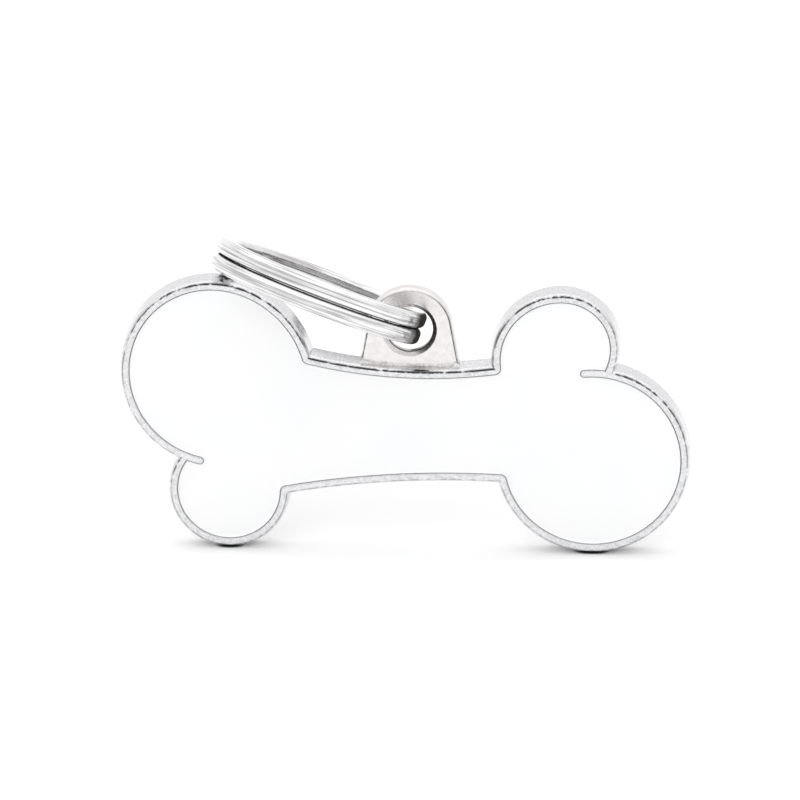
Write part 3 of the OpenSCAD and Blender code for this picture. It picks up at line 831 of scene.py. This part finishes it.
def whiteEnamel():  # glossy white that swells a little
    material, tree, shader = newMaterial("whiteEnamel", {
        "Roughness": enamelFinish["roughness"],
        "Coat Weight": enamelFinish["coatWeight"],
        "Coat Roughness": enamelFinish["coatRoughness"],
    })
    swell = noise(tree, objectPlace(tree), enamelFinish["swell"], detail=1.0)
    colour = shaded(tree, mapped(tree, swell, *softContrast, 0, 1), *enamelFinish["colours"])
    tree.links.new(colour, shader.inputs["Base Color"])
    addBump(tree, shader, [(swell, enamelFinish["bump"])])
    return material


lugFinish = {
    "grain": 0.16,
    "pits": 0.5,
    "colours": ((0.76, 0.735, 0.725), (0.82, 0.8, 0.79)),
    "roughness": (0.26, 0.34),
    "pitBump": (0.08, 0.03),
    "grainBump": (0.07, 0.01),
    "shadeGrain": 0.6,
    "shadeColour": (0.01, 0.009, 0.008),
    "shadeLeast": 0.75,
}


def platedLug():  # duller and warmer plate with shallow pits
    material, tree, shader = newMaterial("platedLug", {"Metallic": 1.0})
    place = objectPlace(tree)
    grain = noise(tree, place, lugFinish["grain"], detail=4.0)
    pits = noise(tree, place, lugFinish["pits"], detail=2.0)
    colour = shaded(tree, mapped(tree, pits, *strongContrast, 0, 1), *lugFinish["colours"])
    roughness = mapped(tree, grain, *softContrast, *lugFinish["roughness"])
    withPaintedShade(tree, shader, colour, roughness, lugFinish)
    addBump(tree, shader, [(pits, lugFinish["pitBump"]), (grain, lugFinish["grainBump"])])
    return material


brazingFinish = {
    "grain": 0.25,
    "colours": ((0.6, 0.59, 0.58), (0.84, 0.82, 0.81)),
    "roughness": 0.42,
    "bump": (0.4, 0.04),
}


def brazingMetal():  # rough and patchy
    material, tree, shader = newMaterial("brazingMetal", {
        "Metallic": 1.0, "Roughness": brazingFinish["roughness"]})
    grain = noise(tree, objectPlace(tree), brazingFinish["grain"], detail=4.0)
    colour = shaded(tree, mapped(tree, grain, *strongContrast, 0, 1), *brazingFinish["colours"])
    tree.links.new(colour, shader.inputs["Base Color"])
    addBump(tree, shader, [(grain, brazingFinish["bump"])])
    return material


wireFinish = {
    "streaks": (0.16, 5.0, 1),      # repeats per millimetre along the wire and round it
    "scratches": (0.5, 16.0, 1),
    "streakContrast": (0.36, 0.54),
    "colours": ((0.5, 0.485, 0.48), (0.88, 0.88, 0.89)),
    "roughness": (0.06, 0.1),
    "shine": 0.1,                   # of the painted shade, which is no metal
    "streakBump": (0.18, 0.05),
    "scratchBump": (0.1, 0.01),
    "shadeGrain": 0.8,
    "shadeColour": (0.022, 0.016, 0.012),
    "shadeLeast": 0.8,
}


def ringWire():  # bright drawn wire, streaked along its length
    material, tree, shader = newMaterial("ringWire", {
        "Metallic": 1.0, "Specular IOR Level": wireFinish["shine"]})
    along = addNode(tree, "ShaderNodeUVMap", uv_map="surface").outputs["UV"]
    streaks = streakNoise(tree, along, wireFinish["streaks"], detail=3.0)
    scratches = streakNoise(tree, along, wireFinish["scratches"], detail=2.0)
    bright = mapped(tree, streaks, *wireFinish["streakContrast"], 0, 1)
    colour = shaded(tree, bright, *wireFinish["colours"])
    roughness = mapped(tree, scratches, *softContrast, *wireFinish["roughness"])
    withPaintedShade(tree, shader, colour, roughness, wireFinish)
    addBump(tree, shader, [(streaks, wireFinish["streakBump"]), (scratches, wireFinish["scratchBump"])])
    return material


# pieces, each on its body and in place of its node

builders = [
    (makeCastBody, platedCasting, "tag", "tag_body", "plated_casting"),
    (makeEnamelPanel, whiteEnamel, "tag", "enamel_fill", "white_enamel"),
    (makeHangerLug, platedLug, "tag", "hanger_lug", "plated_lug"),
    (makeBrazedFillet, brazingMetal, "tag", "lug_brazing", "brazing_metal"),
    (makeSplitRing, ringWire, "ring", "split_ring", "ring_wire"),
]
for make, finish, body, node, slot in builders:
    piece = make()
    piece.data.materials.append(finish())
    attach(piece, body)
    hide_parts(node)


# floor, light and camera

studio = {
    "floorSize": 1.2,           # metres from its middle to its edge
    "floorColour": (0.97, 0.97, 0.97),
    "floorLift": 0.09,          # what is seen more on the floor, so that it reaches white
    "liftReach": 4 * mm,        # how near to the tag that lift fades
    "liftSpan": (0.35, 0.9),    # and over which openness of the floor
    "contactReach": 0.25 * mm,  # how near to the tag its contact shadow goes
    "contactSpan": (0.3, 0.9),
    "contactShadowColour": (0.05, 0.05, 0.055),
    "ambient": (0.42, 1.2),     # the room's light on all but metal, at the horizon and overhead
    "frontWall": 1.02,          # how bright the room is behind the camera, as the metal shows it
    "frontSpan": (-0.75, -0.35),    # share of a direction along Y, over which that wall ends
    "darkStrip": (0.28, 0.32, 0.8),     # lowest and highest height of a dark strip, and its brightness
    "stripFade": (0.08, 0.12),  # below it and above it
    "frontFade": 0.2,           # how far above the strip the front wall has become the ceiling
    "backWall": 1.02,
    "backSpan": (0.2, 0.6),
    "overhead": 1.27,
    "overheadSpan": (0.3, 0.8),     # heights between which the walls become the ceiling
}


def blended(tree, factor, first, second):  # first where the factor is 0 and second where it is 1
    mix = addNode(tree, "ShaderNodeMix", data_type="FLOAT")
    tree.links.new(factor, mix.inputs["Factor"])
    for socket, value in (("A", first), ("B", second)):
        if isinstance(value, (int, float)):
            mix.inputs[socket].default_value = value
        else:
            tree.links.new(value, mix.inputs[socket])
    return mix.outputs["Result"]


def makeFloor():  # white where it is open, with a painted contact shadow: dark in a thin ring where the tag touches it
    size = studio["floorSize"]
    corners = [(-size, -size, 0), (size, -size, 0), (size, size, 0), (-size, size, 0)]
    mesh = bpy.data.meshes.new("floor")
    mesh.from_pydata(corners, [], [(0, 1, 2, 3)])
    floor = bpy.data.objects.new("floor", mesh)
    bpy.context.scene.collection.objects.link(floor)
    material, tree, shader = newMaterial("paleFloor", {
        "Roughness": 1.0, "Specular IOR Level": 0.0, "Emission Color": (1, 1, 1, 1)})
    path = addNode(tree, "ShaderNodeLightPath").outputs
    seen = anyOf(tree, path["Is Camera Ray"], path["Is Glossy Ray"], path["Is Transmission Ray"])
    clear = addNode(tree, "ShaderNodeAmbientOcclusion", Distance=studio["liftReach"]).outputs["AO"]
    lift = times(tree, mapped(tree, clear, *studio["liftSpan"], 0, studio["floorLift"]), seen)
    tree.links.new(lift, shader.inputs["Emission Strength"])
    close = addNode(tree, "ShaderNodeAmbientOcclusion", Distance=studio["contactReach"]).outputs["AO"]
    openness = mapped(tree, close, *studio["contactSpan"], 0, 1)
    colour = shaded(tree, openness, studio["contactShadowColour"], studio["floorColour"])
    tree.links.new(colour, shader.inputs["Base Color"])
    mesh.materials.append(material)


def makeWorld():
    # The camera sees white, the metal a white room with a dark strip in front, and all else gets a
    # light that grows evenly with height.
    world = bpy.data.worlds.new("studio")
    bpy.context.scene.world = world
    world.use_nodes = True
    tree = world.node_tree
    background = tree.nodes["Background"]
    background.inputs["Color"].default_value = (1, 1, 1, 1)
    split = addNode(tree, "ShaderNodeSeparateXYZ")
    tree.links.new(addNode(tree, "ShaderNodeTexCoord").outputs["Generated"], split.inputs[0])
    height, depth = split.outputs["Z"], split.outputs["Y"]
    low, high, dark = studio["darkStrip"]
    fadeBelow, fadeAbove = studio["stripFade"]
    front = mapped(tree, depth, *studio["frontSpan"], 1, 0)
    back = mapped(tree, depth, *studio["backSpan"], 0, 1)
    aboveLow = mapped(tree, height, low - fadeBelow, low, 0, 1)
    strip = times(tree, aboveLow, mapped(tree, height, high, high + fadeAbove, 1, 0))
    lowFront = times(tree, front, mapped(tree, height, low, high + studio["frontFade"], 1, 0))
    room = blended(tree, mapped(tree, height, *studio["overheadSpan"], 0, 1), 1.0, studio["overhead"])
    lowBack = times(tree, back, mapped(tree, height, *studio["overheadSpan"], 1, 0))
    room = blended(tree, lowBack, room, studio["backWall"])
    room = blended(tree, lowFront, room, studio["frontWall"])
    room = blended(tree, times(tree, strip, front), room, dark)
    ambient = mapped(tree, height, 0, 1, *studio["ambient"], smooth=False)
    path = addNode(tree, "ShaderNodeLightPath").outputs
    mirrored = anyOf(tree, path["Is Glossy Ray"], path["Is Transmission Ray"])
    light = blended(tree, mirrored, ambient, room)
    light = blended(tree, path["Is Camera Ray"], light, 1.0)
    tree.links.new(light, background.inputs["Strength"])


lampAim = (0, 0, 0.01)
lamps = [  # name, place and size in metres, and power in watts
    ("overheadSoft", (-0.1, 0.05, 0.5), 0.4, 0.2),
    ("frontSoft", (-0.12, -0.45, 0.3), 0.3, 0.55),
]


def makeLamps():  # soft squares that look at the tag's middle and don't show in the metal
    for name, place, size, power in lamps:
        light = bpy.data.lights.new(name, "AREA")
        light.size = size
        light.energy = power
        lamp = bpy.data.objects.new(name, light)
        lamp.location = place
        lamp.rotation_euler = (Vector(lampAim) - Vector(place)).to_track_quat("-Z", "Y").to_euler()
        lamp.visible_glossy = False
        bpy.context.scene.collection.objects.link(lamp)


view = {
    "elevation": 18.5,
    "azimuth": 3.0,
    "distance": 420.0,      # from the point that it looks at
    "lookAt": (-0.43, 0.0, 11.365),
    "focalPixels": 5691.0,  # focal length in pixels of the 800-pixel picture
    "picturePixels": 800.0,
    "sensor": 36.0,
    "clip": (0.01, 10.0),   # nearest and farthest that it sees, in metres
}


def makeCamera():  # on a sphere round the point that it looks at
    elevation, azimuth = math.radians(view["elevation"]), math.radians(view["azimuth"])
    back = Vector((math.sin(azimuth) * math.cos(elevation), -math.cos(azimuth) * math.cos(elevation),
                   math.sin(elevation)))
    data = bpy.data.cameras.new("camera")
    data.sensor_width = view["sensor"]
    data.lens = view["sensor"] * view["focalPixels"] / view["picturePixels"]
    data.clip_start, data.clip_end = view["clip"]
    camera = bpy.data.objects.new("camera", data)
    camera.location = (Vector(view["lookAt"]) + back * view["distance"]) * mm
    camera.rotation_euler = (-back).to_track_quat("-Z", "Y").to_euler()
    bpy.context.scene.collection.objects.link(camera)
    bpy.context.scene.camera = camera


makeFloor()
makeWorld()
makeLamps()
makeCamera()
bpy.context.scene.view_settings.view_transform = "Standard"
print("studio made")
